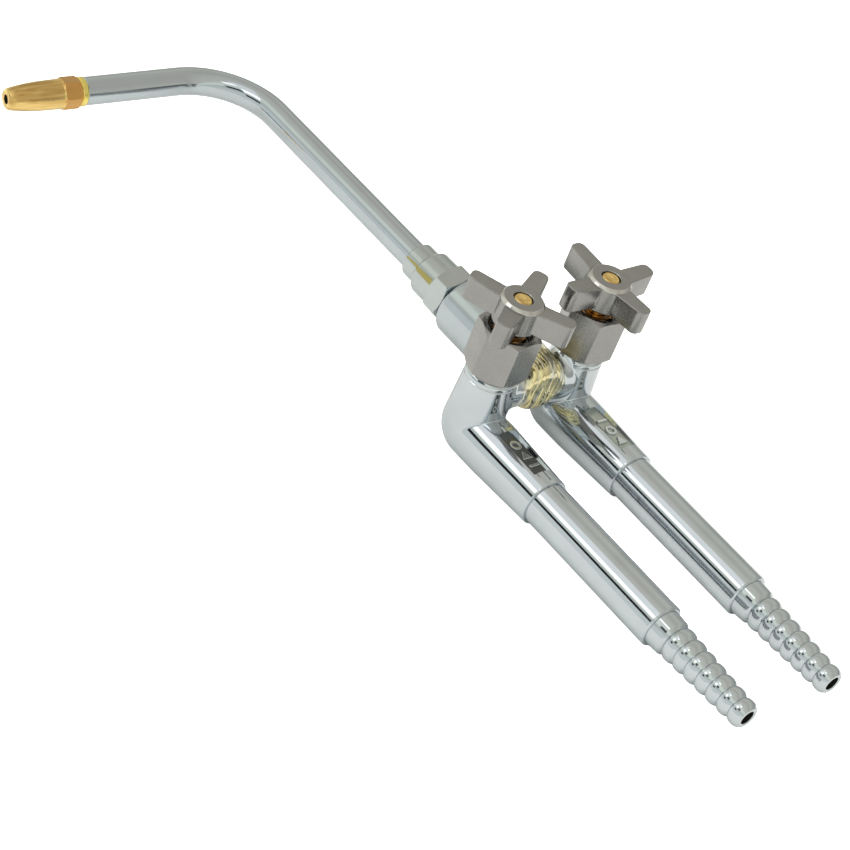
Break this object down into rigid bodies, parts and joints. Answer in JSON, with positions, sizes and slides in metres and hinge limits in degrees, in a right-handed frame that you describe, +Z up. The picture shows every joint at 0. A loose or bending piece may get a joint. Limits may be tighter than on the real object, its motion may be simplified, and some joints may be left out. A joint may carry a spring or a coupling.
{
  "type": "lampwork torch",
  "caption": "Hand torch for glasswork: valve bodies with four-armed handles and hollow grips, ribbed hose nozzles, a mixing body, a bent swivelling burner neck and a brass tip.",
  "frame": {"origin": "middle of the bounding box on the bench that the torch lies on", "axes": "+Y from the hose nozzles to the flame end, +X towards the right-hand valve, +Z up from the bench"},
  "size_m": [0.1616, 0.4129, 0.0803],
  "materials": {
    "chrome": "polished bright plating over cast and turned brass",
    "nickel": "satin nickel plating with a fine turned grain",
    "brass": "bare turned brass",
    "ptfe": "plain white packing",
    "rubber": "plain black rubber",
    "fibre": "plain red fibre washer"
  },
  "bodies": {
    "torch": {"mixer_body": "chrome", "injector": "brass", "neck_seal": "fibre", "left_valve_body": "chrome", "left_bonnet": "nickel", "left_bonnet_seal": "fibre", "left_gland_nut": "brass", "left_packing": "ptfe", "left_grip": "chrome", "left_nozzle_seal": "fibre", "left_hose_nozzle": "chrome", "right_valve_body": "chrome", "right_bonnet": "nickel", "right_bonnet_seal": "fibre", "right_gland_nut": "brass", "right_packing": "ptfe", "right_grip": "chrome", "right_nozzle_seal": "fibre", "right_hose_nozzle": "chrome"},
    "left_needle": {"left_jumper": "brass", "left_seat_disc": "rubber"},
    "left_wheel": {"left_spindle": "brass", "left_handle": "nickel"},
    "right_needle": {"right_jumper": "brass", "right_seat_disc": "rubber"},
    "right_wheel": {"right_spindle": "brass", "right_handle": "nickel"},
    "union_nut": {"union_nut": "nickel"},
    "neck": {"tube_ferrule": "nickel", "burner_tube": "chrome", "tip_socket": "brass"},
    "tip": {"burner_tip": "brass"}
  },
  "joints": [
    {"name": "left_needle_lift", "type": "slide", "parent": "torch", "child": "left_needle", "axis": [0, -0.0208, 0.9998], "range_m": [0, 0.0021]},
    {"name": "left_valve_turn", "type": "hinge", "parent": "left_needle", "child": "left_wheel", "pos_m": [0.00716, -0.03163, 0.07256], "axis": [0, -0.0208, 0.9998], "range_deg": [0, 600]},
    {"name": "right_needle_lift", "type": "slide", "parent": "torch", "child": "right_needle", "axis": [0, -0.0208, 0.9998], "range_m": [0, 0.0021]},
    {"name": "right_valve_turn", "type": "hinge", "parent": "right_needle", "child": "right_wheel", "pos_m": [0.05716, -0.03163, 0.07256], "axis": [0, -0.0208, 0.9998], "range_deg": [0, 600]},
    {"name": "neck_swivel", "type": "hinge", "parent": "torch", "child": "neck", "pos_m": [0.03216, 0.03918, 0.03452], "axis": [0, 0.9998, 0.0208], "continuous": true},
    {"name": "union_nut_turn", "type": "hinge", "parent": "torch", "child": "union_nut", "pos_m": [0.03216, 0.02618, 0.03425], "axis": [0, 0.9998, 0.0208], "range_deg": [0, 90]},
    {"name": "tip_draw", "type": "slide", "parent": "neck", "child": "tip", "axis": [-0.9857, 0.1528, -0.071], "range_m": [0, 0.012]}
  ],
  "couplings": [
    {"joint": "left_needle_lift", "follows": "left_valve_turn", "m_per_rad": 0.00019894},
    {"joint": "right_needle_lift", "follows": "right_valve_turn", "m_per_rad": 0.00019894}
  ]
}
